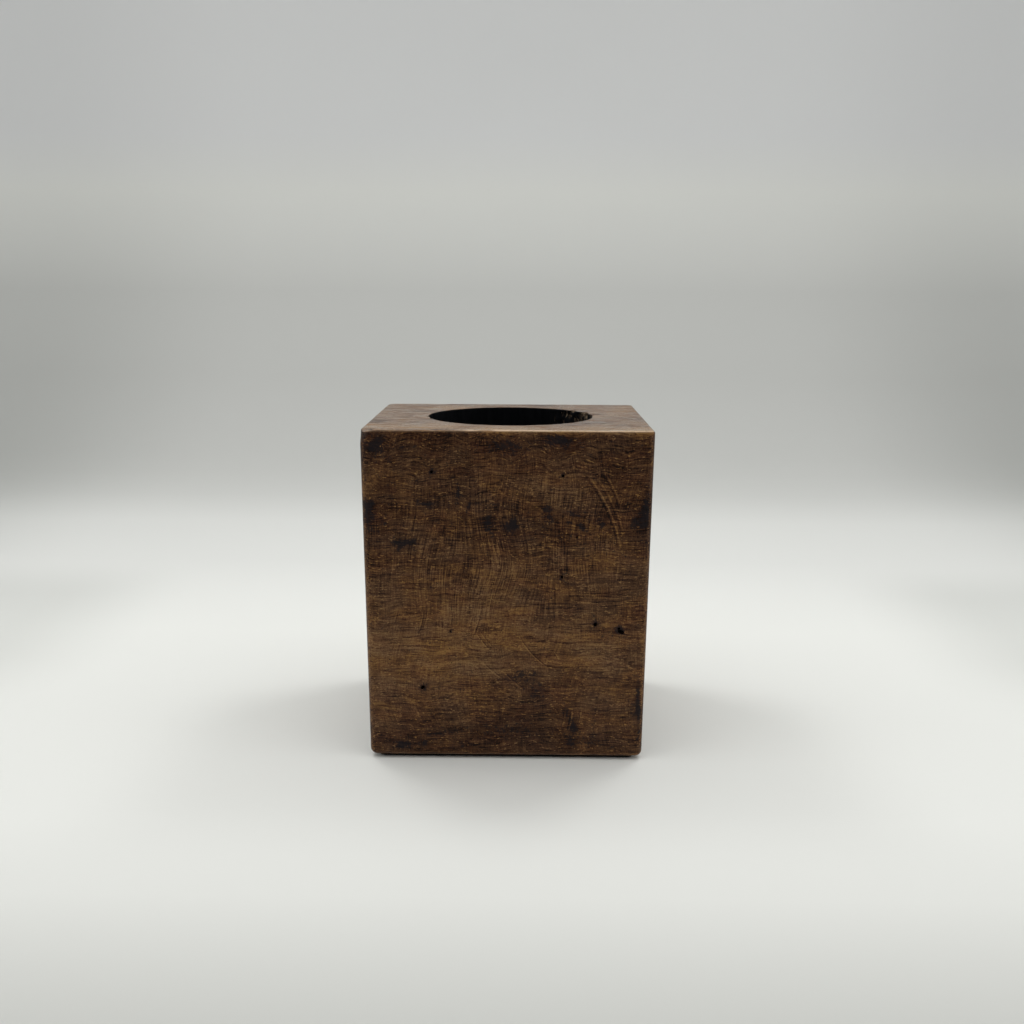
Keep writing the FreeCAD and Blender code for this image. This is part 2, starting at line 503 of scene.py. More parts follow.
cut = block.modifiers.new("holes", "BOOLEAN")
cut.operation, cut.solver, cut.object = "DIFFERENCE", "MANIFOLD", plugs
settle(block)
block.data.materials.clear()
bpy.data.objects.remove(plugs)
print(len(HOLES), "holes;", len(block.data.vertices), "points in the block")

# %% [markdown]
# ## What each point of the wood knows
#
# The finish differs from place to place in ways that no single noise gives. The stain lies
# in broad clouds that were rubbed in by hand, a paler belt runs round the block below its
# middle, dirt gathers in smears and round the holes, and edges get knocked. The top is
# painted paler too, a painted sheen that grows towards its front. These are worked out for
# each point of the mesh and kept as attributes, which the modifier and the material both
# read. The amounts of stain and painted light are in steps of 0, black, to 255, white.

# %% Stain
STAIN_BY_HEIGHT = (     # mm above the table, and how light the stain is there
    (0, 49), (2.5, 44), (6, 41), (12, 44), (21, 50.5), (31, 55.5), (41, 63), (50, 61), (59, 56),
    (69, 53), (78, 51), (88, 45), (97, 41.5), (107, 46.5), (116, 44), (127, 43),
)
STAIN_WANDER = 3                                # mm that those levels wander up and down
BROAD_CLOUD, SMALL_CLOUD = (9, 24), (6, 11)     # steps lighter or darker, and mm across
END_GRAIN_DARKER = 5                            # steps, as cut fibres drink more stain
# The top is painted paler by these steps, a painted sheen, and paler still towards its front.
TOP_PAINTED_SHEEN, TOP_PAINTED_SHEEN_FRONT = 24.0, 24.0         # steps, and how many more at its front
CLOUDS = (      # X, Z, half width, half height, how much lighter, all on the front
    (17, 107, 9, 5, 10), (46, 106, 12, 8, -5), (-15, 98, 8, 5, 4), (-24, 88, 12, 5, 4),
    (11, 88, 12, 5, -4), (38, 84, 9, 7, 5), (-50, 78, 6, 6, -5), (-28, 79, 6, 5, -4),
    (-6, 79, 8, 6, 5), (-10, 58, 14, 9, 7), (18, 58, 8, 6, -7), (40, 60, 9, 7, -6),
    (-25, 42, 24, 9, 6), (12, 38, 16, 12, -5), (50, 45, 6, 14, -6), (10, 20, 22, 9, -5),
    (-48, 17, 8, 9, 6), (42, 15, 12, 9, 5), (-15, 12, 12, 6, -4), (-31, 123, 9, 4, -9),
    (-28, 109, 4, 4, -5), (9, 105, 10, 6, 6), (-24, 96, 7, 4, -6), (-16, 74, 7, 5, -6),
    (28, 67, 4, 5, -6), (-43, 54, 9, 4, -5), (14, 50, 5, 6, -6), (44, 41, 9, 6, -7),
    (-24, 25, 7, 4, 6), (-7, 18, 4, 4, -6), (29, 7, 3.5, 5, 8), (42, 4, 5, 3, -7),
    (-49, 110, 4, 5, 6), (35, 74, 4, 4, 5), (-35, 60, 4, 4, 5), (-49, 95, 5, 8, -4),
    (49, 95, 4, 8, -4), (4, 102, 18, 3, 5), (50, 80, 4, 22, -5), (15, 58, 5, 6, -5),
    (-42, 46, 6, 4, 5), (-22, 33, 6, 3, -6), (31, 18, 6, 4, 6), (7, 46, 5, 4, 6), (28, 46, 4, 4, 5),
    (-33, 68, 6, 5, -5), (35, 82, 4, 4, -5), (28, 89, 4, 4, 6), (-7, 88, 5, 3, 7),
    # On the next row the two at X -53.5 are painted light on the left edge's round: a painted sheen
    # from Z 91 to 111 and a painted shade at the top corner.
    (-47, 4, 5, 4, -5), (-53.5, 101, 2, 10, 16), (-53.5, 121, 2.5, 6, -10), (-24, 25, 8, 4, 5),
    (29, 4, 4, 4, 14), (18, 123, 7, 3, 6), (13, 109, 4, 4, 5), (-14, 99, 5, 5, 5),
    (-50, 90, 4, 6, 5), (35, 53, 5, 4, 6), (-35, 33, 5, 4, 5), (-22, 4, 5, 3, -5),
)
print(len(CLOUDS), "clouds over", len(STAIN_BY_HEIGHT), "levels of stain")

# %% Dirt
SMEAR_DIRT, ZONE_DIRT = 2.5, 1.2        # how strongly each of the two lists below counts
SMEARS = (      # X, Z, half width, half height, turn, how dark from 0 to 1, all on the front
    (-38.0, 85.2, 3.4, 1.1, 4, 1.0), (-39.8, 83.0, 1.6, 1.0, 50, 0.8),
    (-17.8, 104.0, 0.8, 3.4, 0, 0.7), (-29.0, 99.4, 3.4, 0.8, 0, 0.8),
    (-14.0, 98.7, 0.8, 1.4, 0, 0.7), (14.2, 98.5, 1.5, 1.2, 0, 0.7), (24.6, 96.3, 1.3, 0.9, 0, 0.8),
    (27.7, 91.7, 1.8, 1.0, -35, 0.9), (35.1, 92.5, 1.3, 1.1, 0, 0.8),
    (23.3, 87.5, 1.1, 0.7, 0, 0.7), (1.2, 91.2, 2.6, 1.8, 0, 0.8), (-7.0, 92.5, 2.5, 2.0, 0, 0.5),
    (51.0, 97.5, 1.6, 6.0, 0, 0.7), (-51.0, 96.0, 2.2, 6.0, 0, 0.6),
    (22.6, 19.4, 1.0, 1.6, 15, 0.7), (25.8, 12.8, 1.0, 2.2, 8, 0.7), (24.4, 7.0, 2.0, 1.1, 0, 0.6),
    (50.2, 23.0, 0.9, 9.0, 3, 0.7), (-39.3, 5.7, 3.0, 1.4, 0, 0.7), (-31.5, 6.6, 2.4, 1.2, 0, 0.6),
    (-24.0, 10.5, 5.0, 1.6, 6, 0.35), (32.8, 57.3, 0.8, 0.8, 0, 0.6), (6.0, 34.0, 4.5, 2.4, 0, 0.5),
    (12.0, 27.0, 3.0, 4.0, 30, 0.4), (19.0, 123.6, 6.5, 1.8, 0, 0.8),
    (-1.0, 121.0, 7.0, 3.0, 0, 0.45), (-48.0, 121.0, 4.0, 4.5, 0, 0.5),
    (31.0, 8.0, 7.0, 2.6, 0, 0.35), (0.0, 12.0, 12.0, 3.0, 0, 0.3), (36.0, 49.0, 1.6, 0.6, 0, 0.4),
)
SMEARED_ZONES = (   # where blotches of old wax and dirt crowd, as above
    (11.0, 93.0, 25.0, 7.0, 0, 1.0), (-48.0, 96.0, 6.0, 12.0, 0, 1.1),
    (49.0, 95.0, 5.0, 9.0, 0, 1.0), (-38.0, 84.0, 9.0, 5.0, 20, 0.6),
    (-20.0, 101.0, 12.0, 5.0, 0, 0.5), (-48.0, 120.0, 8.0, 7.0, 0, 0.9),
    (24.0, 14.0, 12.0, 9.0, 0, 0.6), (-30.0, 7.0, 18.0, 5.0, 0, 0.6), (8.0, 32.0, 9.0, 6.0, 0, 0.6),
    (18.0, 122.0, 12.0, 4.0, 0, 0.8), (50.0, 20.0, 3.0, 14.0, 0, 0.8),
)
TOP_SMEARS = (  # X, Y, half width, half depth, turn, how dark, all on the top
    (-37.0, 16.0, 3.6, 2.2, 0, 1.0), (35.5, 8.2, 3.4, 0.9, 0, 1.5),
    (-46.0, -32.0, 1.2, 1.2, 0, 1.0), (-36.0, -44.6, 14.0, 1.2, 0, 1.3),
    (-24.0, -44.0, 8.0, 1.2, 0, 1.6), (37.0, -24.0, 2.5, 0.8, 0, 1.1),
)
HALO_REACH, HALO_DIRT = 2.4, 1.3        # dirt round a hole: times its size, and how dark
HALOS = {face: [] for face in FACES}    # as above, but for X or Y, whichever runs along the face
for face, along, up, half_wide, half_high, turn, depth in HOLES:
    across = along if face in ("front", "right", "top") else -along
    HALOS[face].append((across, up, HALO_REACH * half_wide, HALO_REACH * half_high, turn,
                        HALO_DIRT))
print(len(SMEARS) + len(TOP_SMEARS), "smears")

# %% Soft steps and patches
def rise(value, low, high):
    """0 below low, 1 above high and a smooth climb between, or a fall where high is lower."""
    share = min(1.0, max(0.0, (value - low) / (high - low)))
    return share * share * (3 - 2 * share)


def read_off(stops, value):
    """The height of a line through these stops, at a value."""
    for (low, at_low), (high, at_high) in zip(stops, stops[1:]):
        if value <= high:
            return at_low + (at_high - at_low) * max(0.0, value - low) / (high - low)
    return stops[-1][1]


def patches(x, z, marks):
    """The sum of soft oval patches at a point of the front."""
    total = 0.0
    for across, up, mark_width, mark_height, *turn, amount in marks:
        angle = math.radians(turn[0]) if turn else 0.0
        c, s = math.cos(angle), math.sin(angle)
        u, w = x - across, z - up
        spread = ((c * u + s * w) / mark_width) ** 2 + ((c * w - s * u) / mark_height) ** 2
        total += amount * math.exp(-spread) if spread < 8 else 0.0
    return total


print("halfway up, the stain is at", round(read_off(STAIN_BY_HEIGHT, TOP / 2), 1))

# %% What each point knows
KNOCKED_STRETCH = (-42.0, -8.0)         # along X, where the top's front edge has most knocks
KNOCKS_ELSEWHERE = 0.25                 # of those in that stretch
WORN_CORNER = Vector((-54.0, -47.6, 127.0))     # use has rounded the top's front left corner
FAR_FROM_EDGE = 30.0


def stain_and_light_at(point, front, on_top, cloud):
    """How light the stain is there, in steps of tone, with the painted sheen of the top."""
    x, y, z = point
    level = z + STAIN_WANDER * noise.noise(point / 20 + Vector((0, 0, 9)))
    stain_and_painted_light = read_off(STAIN_BY_HEIGHT, level)
    stain_and_painted_light += cloud * (1 - 0.7 * front) + front * patches(x, z, CLOUDS)
    return stain_and_painted_light + on_top * (TOP_PAINTED_SHEEN + 0.5 * cloud + TOP_PAINTED_SHEEN_FRONT * rise(-y, 24, 46))


def dirt_at(point, front, on_top, cloud, halos):
    """How thick the dirt lies there."""
    x, y, z = point
    dirt = SMEAR_DIRT * front * patches(x, z, SMEARS)
    blotch = rise(noise.noise(Vector((x / 4.5, 3.0, z / 3.5))), -0.05, 0.55)
    dirt += ZONE_DIRT * front * blotch * patches(x, z, SMEARED_ZONES)
    elsewhere = rise(noise.noise(Vector((x / 8, y / 6, z / 6))) + 0.02 * cloud, 0.3, 0.75)
    dirt += (1 - front) * (1.0 - on_top) * elsewhere
    return dirt + patches(x, y, TOP_SMEARS) * on_top + halos


def knowledge(point):
    """What one point of the block, in mm, knows of itself."""
    x, y, z = point
    to_ends = half_width(z) - abs(x)
    to_faces = HALF_DEPTH - abs(y)
    to_level = min(TOP - z, z - BASE)
    from_bore = (point.xy - BORE_CENTRE).length - BORE_RADIUS
    in_bore = from_bore < 0.35 and BORE_FLOOR - PIT_DEPTH - 1 < z < TOP - 0.05
    to_rim = FAR_FROM_EDGE if in_bore else max(0.0, from_bore) + to_level
    from_edge = min(sorted((to_ends, to_faces, to_level))[1], to_rim)

    front = rise(-y, HALF_DEPTH - 9, HALF_DEPTH - 2)
    on_top = rise(TOP - z, 0.22, 0.02)
    end_grain = rise(to_ends, 1.2, 0.2) * rise(to_faces, 0.2, 1.2)
    cloud = sum(amount * noise.noise(point / size + moved) for (amount, size), moved in (
        (BROAD_CLOUD, Vector()), (SMALL_CLOUD, Vector((7, 3, 5)))))
    if in_bore:
        halos = 0.0
    elif to_faces < to_ends:
        halos = patches(x, z, HALOS["front" if y < 0 else "back"])
    else:
        halos = patches(y, z, HALOS["left" if x < 0 else "right"])
    in_stretch = KNOCKED_STRETCH[0] < x < KNOCKED_STRETCH[1]
    at_front_edge = -y > HALF_DEPTH - 4 and z > TOP - 4
    return {
        "from_edge": max(0.0, from_edge),
        "stain_and_painted_light": stain_and_light_at(point, front, on_top, cloud) - END_GRAIN_DARKER * end_grain,
        "dirt": dirt_at(point, front, on_top, cloud, halos),
        "knocked": 1.0 if at_front_edge and in_stretch else KNOCKS_ELSEWHERE,
        "end_grain": end_grain,
        "in_bore": float(in_bore),
        "worn": rise((point - WORN_CORNER).length, 6.0, 1.0),
        "on_top": on_top,
        "by_mouth": rise(from_bore, 2.0, 0.7) * rise(TOP - z, BORE_DEPTH - 3, BORE_DEPTH - 6),
    }


known = [knowledge(vertex.co / MM) for vertex in block.data.vertices]
for name in known[0]:
    attribute = block.data.attributes.new(name, "FLOAT", "POINT")
    attribute.data.foreach_set("value", [k[name] for k in known])
print({name: round(sum(k[name] for k in known) / len(known), 2) for name in known[0]})

# %% [markdown]
# ## Hand work, as Geometry Nodes
#
# No hand-made block is truly flat. Its faces swell and dip by a tenth of a millimetre, its
# edges lost chips, and the drill tore the end grain out of the bore's left and right walls.
# All three follow a rule, so one tree of Geometry Nodes makes them: it pushes every point
# into the wood by an amount that noises and the attributes give. Nothing is pushed outwards,
# so the block keeps its size.

# %% New trees and how they run
def new_tree(name, sizes):
    """A Geometry Nodes tree with these named inputs. Gives the tree, its inputs and its end."""
    tree = bpy.data.node_groups.new(name, "GeometryNodeTree")
    tree.interface.new_socket("Geometry", in_out="INPUT", socket_type="NodeSocketGeometry")
    for title, value in sizes.items():
        kind = "NodeSocketInt" if isinstance(value, int) else "NodeSocketFloat"
        tree.interface.new_socket(title, in_out="INPUT", socket_type=kind)
    tree.interface.new_socket("Geometry", in_out="OUTPUT", socket_type="NodeSocketGeometry")
    given = tree.nodes.new("NodeGroupInput").outputs
    return tree, given, tree.nodes.new("NodeGroupOutput").inputs[0]


def run_tree(piece, tree, sizes):
    """Give a piece this tree with these sizes, and keep the mesh that comes of it."""
    modifier = piece.modifiers.new(tree.name, "NODES")
    modifier.node_group = tree
    for item in tree.interface.items_tree:
        if item.in_out == "INPUT" and item.name in sizes:
            modifier[item.identifier] = sizes[item.name]
    settle(piece)


print("a tree can be built and run")

# %% Waves and chips
timber, timber_tree, timber_shader = new_finish("dark_waxed_stained_pine")

HAND_SIZES = {"Wave Height": 0.10, "Wave Length": 26.0, "Chip Depth": 0.6, "Chip Length": 6.0,
              "Corner Wear": 1.1, "Torn Depth": 1.8, "Torn Size": 3.0, "Seed": 11}
tree, given, end = new_tree("hand_work", HAND_SIZES)
place = add(tree, "GeometryNodeInputPosition")
place = add(tree, "ShaderNodeVectorMath", {"Vector": place, "Scale": 1 / MM}, operation="SCALE")
normal = add(tree, "GeometryNodeInputNormal")
known_by_name = {
    name: add(tree, "GeometryNodeInputNamedAttribute", {"Name": name}, data_type="FLOAT")
    for name in ("from_edge", "knocked", "worn", "by_mouth")}


def seeded_noise(size, detail=1.0):
    """A noise on the place, this many mm across, moved by the seed."""
    finer = add(tree, "ShaderNodeMath", [1.0, size], operation="DIVIDE")
    return add(tree, "ShaderNodeTexNoise", {"Vector": place, "W": given["Seed"], "Scale": finer,
                                            "Detail": detail}, noise_dimensions="4D")


wave = seeded_noise(given["Wave Length"])
wave = add(tree, "ShaderNodeMath", [wave, given["Wave Height"]], operation="MULTIPLY")
at_edge = add(tree, "ShaderNodeMapRange", {
    "Value": known_by_name["from_edge"], "From Min": 2.4, "From Max": 0.4})
chip = add(tree, "ShaderNodeMapRange", {
    "Value": seeded_noise(given["Chip Length"], 3.0), "From Min": 0.50, "From Max": 0.66})
for factor in (at_edge, known_by_name["knocked"]):
    chip = add(tree, "ShaderNodeMath", [chip, factor], operation="MULTIPLY")
chip_push = add(tree, "ShaderNodeMath", [chip, given["Chip Depth"]], operation="MULTIPLY")
push = add(tree, "ShaderNodeMath", [wave, chip_push], operation="ADD")
push = add(tree, "ShaderNodeMath", [known_by_name["worn"], given["Corner Wear"], push],
           operation="MULTIPLY_ADD")
print("waves and chips so far:", len(tree.nodes), "nodes")

# %% Torn grain
TORN_WAY = (0.94, 0.34, 0.0)    # from the bore's middle to where most of the grain is torn

height = add(tree, "ShaderNodeSeparateXYZ", [place]).node.outputs["Z"]
outwards = add(tree, "ShaderNodeVectorMath", [place, (*BORE_CENTRE, 0.0)], operation="SUBTRACT")
outwards = add(tree, "ShaderNodeVectorMath", [outwards, (1.0, 1.0, 0.0)], operation="MULTIPLY")
outwards = add(tree, "ShaderNodeVectorMath", [outwards], operation="NORMALIZE")
facing = add(tree, "ShaderNodeVectorMath", [outwards, TORN_WAY], out="Value",
             operation="DOT_PRODUCT")
side = add(tree, "ShaderNodeMapRange", {"Value": facing, "From Min": 0.74, "From Max": 0.95})
other_side = add(tree, "ShaderNodeMapRange", {
    "Value": facing, "From Min": -0.75, "From Max": -1.0, "To Max": 0.6})
on_ends = add(tree, "ShaderNodeMath", [side, other_side], operation="MAXIMUM")
shallow = add(tree, "ShaderNodeMapRange", {
    "Value": height, "From Min": TOP - 45, "From Max": TOP - 8, "To Min": 0.35, "To Max": 1.0})
torn = add(tree, "ShaderNodeMapRange", {
    "Value": seeded_noise(given["Torn Size"], 3.0), "From Min": 0.42, "From Max": 0.68})
for factor in (on_ends, known_by_name["by_mouth"], shallow):
    torn = add(tree, "ShaderNodeMath", [torn, factor], operation="MULTIPLY")
torn_push = add(tree, "ShaderNodeMath", [torn, given["Torn Depth"]], operation="MULTIPLY")
print("with the torn grain:", len(tree.nodes), "nodes")

# %% Push the points
inwards = add(tree, "ShaderNodeMath", [push, -MM], operation="MULTIPLY")
offset = add(tree, "ShaderNodeVectorMath", {"Vector": normal, "Scale": inwards}, operation="SCALE")
torn_push = add(tree, "ShaderNodeMath", [torn_push, MM], operation="MULTIPLY")
offset = add(tree, "ShaderNodeVectorMath", [outwards, torn_push, offset], operation="MULTIPLY_ADD")
flow = given["Geometry"]
for name, value in (("chipped", chip), ("torn", torn)):
    flow = add(tree, "GeometryNodeStoreNamedAttribute", {
        "Geometry": flow, "Name": name, "Value": value,
    }, data_type="FLOAT")
flow = add(tree, "GeometryNodeSetPosition", {"Geometry": flow, "Offset": offset})
flow = add(tree, "GeometryNodeRealizeInstances", [flow])
flow = add(tree, "GeometryNodeSetMaterial", {"Geometry": flow, "Material": timber})
tree.links.new(flow, end)
run_tree(block, tree, HAND_SIZES)
block.data.set_sharp_from_angle(angle=math.radians(38))
print("hand work done on", len(block.data.vertices), "points")

# %% [markdown]
# ## Dark stained and waxed timber
#
# The wood is a pine, sawn, hand sanded, stained nearly black and brown, rubbed back and
# waxed. To the eye that is one scale of browns, from burnt umber in the pores to a golden
# brown where the rubbing went through, under a thin satin wax. So every pattern here adds
# to or takes from a single number, the tone, in the same steps of 0 to 255 as the stain,
# and one colour ramp turns the tone to colour at the end.
#
# The grain runs along X, so the noises are stretched that way. All of them read Object
# coordinates in millimetres: the pattern goes through the block as real grain does, comes
# out as long streaks on the front and back, and as small dots on the two ends.

# %% Where the grain runs
BEND_LENGTH = 15.0              # mm from one bend of the grain to the next

tree = timber_tree
place = place_in_mm(tree)
axes = add(tree, "ShaderNodeSeparateXYZ", [place]).node.outputs
known_here = {name: add(tree, "ShaderNodeAttribute", out="Fac", attribute_name=name)
              for name in ("stain_and_painted_light", "dirt", "end_grain", "from_edge", "chipped", "on_top")}

# The grain isn't straight: it bends by a millimetre or two, and curls in the top inch.
curl = add(tree, "ShaderNodeMapRange", {
    "Value": axes["Z"], "From Min": 100.0, "From Max": 120.0, "To Min": 4.0, "To Max": 8.0})
curl = add(tree, "ShaderNodeMath", [known_here["on_top"], -6.5, curl], operation="MULTIPLY_ADD")
bend = add(tree, "ShaderNodeTexNoise", {
    "Vector": place, "Scale": 1 / BEND_LENGTH, "Detail": 1.0,
}, out="Color")
bend = add(tree, "ShaderNodeVectorMath", [bend, (0.5, 0.5, 0.5)], operation="SUBTRACT")
bend = add(tree, "ShaderNodeVectorMath", {"Vector": bend, "Scale": curl}, operation="SCALE")
bent = add(tree, "ShaderNodeVectorMath", [place, bend], operation="ADD")
print("the grain bends every", BEND_LENGTH, "mm")

# %% Layers of grain
GRAIN = (       # what, how long along X, Y and Z in mm, detail, contrast in steps of tone
    ("clouds", (9.0, 4.5, 4.5), 1.0, 31.0),
    ("fibres", (10.0, 0.85, 0.85), 3.0, 42.0),
    ("lines", (15.0, 0.42, 0.42), 0.0, 42.0),
    ("mottle", (1.3, 1.1, 1.1), 2.0, 38.0),
    ("specks", (0.44, 0.42, 0.42), 1.0, 44.0),
)
TOP_MOTTLE_SIZE, TOP_MOTTLE = (9.0, 3.2, 3.2), 90.0     # patches of wax and stain on the top
TONE_SHIFT = 3.6                # makes up for what pores and dirt take from the mean


def grain_noise(where, size, detail=0.0, roughness=0.6):
    """A noise with features of this size in mm along X, Y and Z, in the tree of the place."""
    tree = where.id_data
    scaled = add(tree, "ShaderNodeVectorMath", [where, size], operation="DIVIDE")
    return add(tree, "ShaderNodeTexNoise", {"Vector": scaled, "Scale": 1.0, "Detail": detail,
                                            "Roughness": roughness})


tone = add(tree, "ShaderNodeMath", [known_here["stain_and_painted_light"], TONE_SHIFT], operation="ADD")
layers = {}
for what, size, detail, contrast in GRAIN:
    layers[what] = grain_noise(bent, size, detail)
    tone = add(tree, "ShaderNodeMath", [layers[what], contrast, tone], operation="MULTIPLY_ADD")
top_mottle = grain_noise(bent, TOP_MOTTLE_SIZE, 4.0, 0.7)
top_mottle = add(tree, "ShaderNodeMath", [top_mottle, 0.5], operation="SUBTRACT")
top_mottle = add(tree, "ShaderNodeMath", [top_mottle, known_here["on_top"]], operation="MULTIPLY")
tone = add(tree, "ShaderNodeMath", [top_mottle, TOP_MOTTLE, tone], operation="MULTIPLY_ADD")
mean_of_layers = sum(contrast for *_, contrast in GRAIN) / 2
tone = add(tree, "ShaderNodeMath", [tone, mean_of_layers], operation="SUBTRACT")
print(len(layers), "layers of grain")

# %% [markdown]
# ## Growth rings, pores and sanding marks
#
# Rings are distances from the pith, which lies under the block: nearly level lines on the
# front, clearest in the pale belt, and clear arcs on the sawn ends. The pores are a thin
# noise of which only the peaks count, and so are the pale flecks where the rubbing went
# through the stain. Sanding across the grain left fine upright lines in the middle of the
# front.

# %% Growth rings
RING_WIDTH, RING_CONTRAST = 2.4, 34.0
RING_LENGTH = 60.0              # mm along X over which a ring changes
PITH = (12.0, -44.0)            # Y and Z of the tree's middle, below the block
BELT_HEIGHT = 36.0              # the middle of the pale belt

from_pith = add(tree, "ShaderNodeCombineXYZ", [0.0, axes["Y"], axes["Z"]])
from_pith = add(tree, "ShaderNodeVectorMath", [from_pith, bend], operation="ADD")
ring_radius = add(tree, "ShaderNodeVectorMath", [from_pith, (0.0, *PITH)], out="Value",
                  operation="DISTANCE")
along_ring = add(tree, "ShaderNodeMath", [axes["X"], 1 / RING_LENGTH], operation="MULTIPLY")
across_rings = add(tree, "ShaderNodeMath", [ring_radius, 1 / RING_WIDTH], operation="MULTIPLY")
ring_place = add(tree, "ShaderNodeCombineXYZ", [along_ring, across_rings, 0.0])
ringed = add(tree, "ShaderNodeTexNoise", {"Vector": ring_place, "Scale": 1.0, "Detail": 1.5})
ringed = add(tree, "ShaderNodeMath", [ringed, 0.5], operation="SUBTRACT")
off_belt = add(tree, "ShaderNodeMath", [axes["Z"], BELT_HEIGHT], operation="SUBTRACT")
off_belt = add(tree, "ShaderNodeMath", [off_belt], operation="ABSOLUTE")
in_belt = add(tree, "ShaderNodeMapRange", {
    "Value": off_belt, "From Min": 7.0, "From Max": 26.0, "To Min": 1.0, "To Max": 0.25})
ring_show = add(tree, "ShaderNodeMath", [in_belt, known_here["end_grain"]], operation="ADD")
ringed = add(tree, "ShaderNodeMath", [ringed, ring_show], operation="MULTIPLY")
tone = add(tree, "ShaderNodeMath", [ringed, RING_CONTRAST, tone], operation="MULTIPLY_ADD")
print("a growth ring every", RING_WIDTH, "mm")

# %% Pores and flecks
PORE_SIZE, PORE_DARKENS = (6.0, 0.38, 0.38), 20.0           # short dashes along the grain
FLECK_SIZE, FLECK_LIGHTENS = (1.4, 0.5, 0.5), 70.0

pores = add(tree, "ShaderNodeMapRange", {
    "Value": grain_noise(bent, PORE_SIZE), "From Min": 0.60, "From Max": 0.76})
tone = add(tree, "ShaderNodeMath", [pores, -PORE_DARKENS, tone], operation="MULTIPLY_ADD")
flecks = add(tree, "ShaderNodeMapRange", {
    "Value": grain_noise(bent, FLECK_SIZE, 1.0), "From Min": 0.62, "From Max": 0.78})
tone = add(tree, "ShaderNodeMath", [flecks, FLECK_LIGHTENS, tone], operation="MULTIPLY_ADD")
print("pores", PORE_SIZE[0], "mm long and flecks", FLECK_SIZE[0], "mm long")

# %% Sanding marks
HATCHING_SIZE, HATCHING = (0.42, 0.42, 8.0), 118.0          # fine upright lines, and their contrast
HATCHED_MIDDLE, HATCHED_REACH = (-3.0, 0.0, 84.0), (56.0, 400.0, 32.0)
SWING_LENGTH, SWING = 30.0, 15.0        # the lines lean to and fro by this much over that length

off_middle = add(tree, "ShaderNodeVectorMath", [place, HATCHED_MIDDLE], operation="SUBTRACT")
off_middle = add(tree, "ShaderNodeVectorMath", [off_middle, HATCHED_REACH], operation="DIVIDE")
off_middle = add(tree, "ShaderNodeVectorMath", [off_middle], out="Value", operation="LENGTH")
hatched = add(tree, "ShaderNodeMapRange", {
    "Value": off_middle, "From Min": 0.35, "From Max": 1.3, "To Min": 1.0, "To Max": 0.35,
}, interpolation_type="SMOOTHSTEP")
swing = add(tree, "ShaderNodeMath", [grain_noise(place, [SWING_LENGTH] * 3), SWING],
            operation="MULTIPLY")
swing = add(tree, "ShaderNodeCombineXYZ", [swing])
swung = add(tree, "ShaderNodeVectorMath", [place, swing], operation="ADD")
hatching = add(tree, "ShaderNodeMath", [grain_noise(swung, HATCHING_SIZE, 1.0), 0.5],
               operation="SUBTRACT")
in_patches = add(tree, "ShaderNodeMapRange", {
    "Value": grain_noise(place, (7.0, 7.0, 9.0), 1.0), "From Min": 0.38, "From Max": 0.60,
    "To Min": 0.40})
for factor in (hatched, in_patches):
    hatching = add(tree, "ShaderNodeMath", [hatching, factor], operation="MULTIPLY")
tone = add(tree, "ShaderNodeMath", [hatching, HATCHING, tone], operation="MULTIPLY_ADD")
print("sanded across the grain in lines", HATCHING_SIZE[0], "mm wide")

# %% [markdown]
# ## Saw marks and scratches
#
# A circular saw leaves faint arcs, and grit in the sanding cloth leaves scratches. Each one
# is drawn by its two ends and its bulge, from which school geometry gives the circle that it
# lies on. The distance from that circle goes through a small ramp with a dark and a light
# side, a painted shade and a painted highlight, as a groove has in side light.

# %% Saw marks
STROKES = (     # from X, Z to X, Z on the front, bulge to the left of that way, width, contrast
    (28.6, 111.2, 41.8, 83.0, 2.0, 1.0, 15), (31.0, 111.6, 43.4, 86.0, 1.8, 0.8, 9),
    (34.0, 113.0, 41.9, 97.0, 1.1, 0.9, 11), (-9.2, 63.5, -12.9, 48.5, 0.8, 0.60, -15),
    (-11.6, 64.0, -14.8, 51.0, 0.7, 0.45, -9), (-31.0, 60.0, -33.4, 49.5, 0.5, 0.55, -13),
    (-29.4, 60.5, -31.6, 51.0, 0.4, 0.45, 10), (-40.6, 59.5, -42.4, 53.5, 0.2, 0.50, -12),
    (-20.0, 62.0, -21.2, 52.5, 0.3, 0.45, -9), (-11.3, 50.6, -5.5, 43.2, -0.3, 0.50, 17),
    (-9.9, 51.3, -4.6, 44.6, -0.3, 0.42, 13), (-8.8, 39.0, -0.3, 32.0, -0.4, 0.60, 12),
    (-1.0, 35.6, 7.8, 27.8, -0.5, 0.60, 10), (5.0, 49.2, 16.0, 37.0, -1.0, 0.50, 15),
    (17.8, 43.4, 20.0, 39.7, 0.1, 0.42, 13), (24.9, 20.2, 23.6, 12.0, 0.3, 0.75, 20),
    (22.4, 21.5, 21.2, 13.0, 0.3, 0.50, 9), (28.4, 20.5, 27.4, 14.0, 0.3, 0.50, 9),
    (-43.0, 108.0, -33.0, 105.5, 0.3, 0.42, 12), (41.0, 65.4, 51.0, 65.0, 0.2, 0.42, -16),
)
STROKE_STRENGTH = 4.6
# The dark side is a painted shade and the light side a painted highlight.
GROOVE_PROFILE = (              # across a groove, a dark side and a light side
    (0.25, "bcbcbc"), (0.38, "606060"), (0.5, "bcbcbc"), (0.62, "ffffff"), (0.75, "bcbcbc"),
)

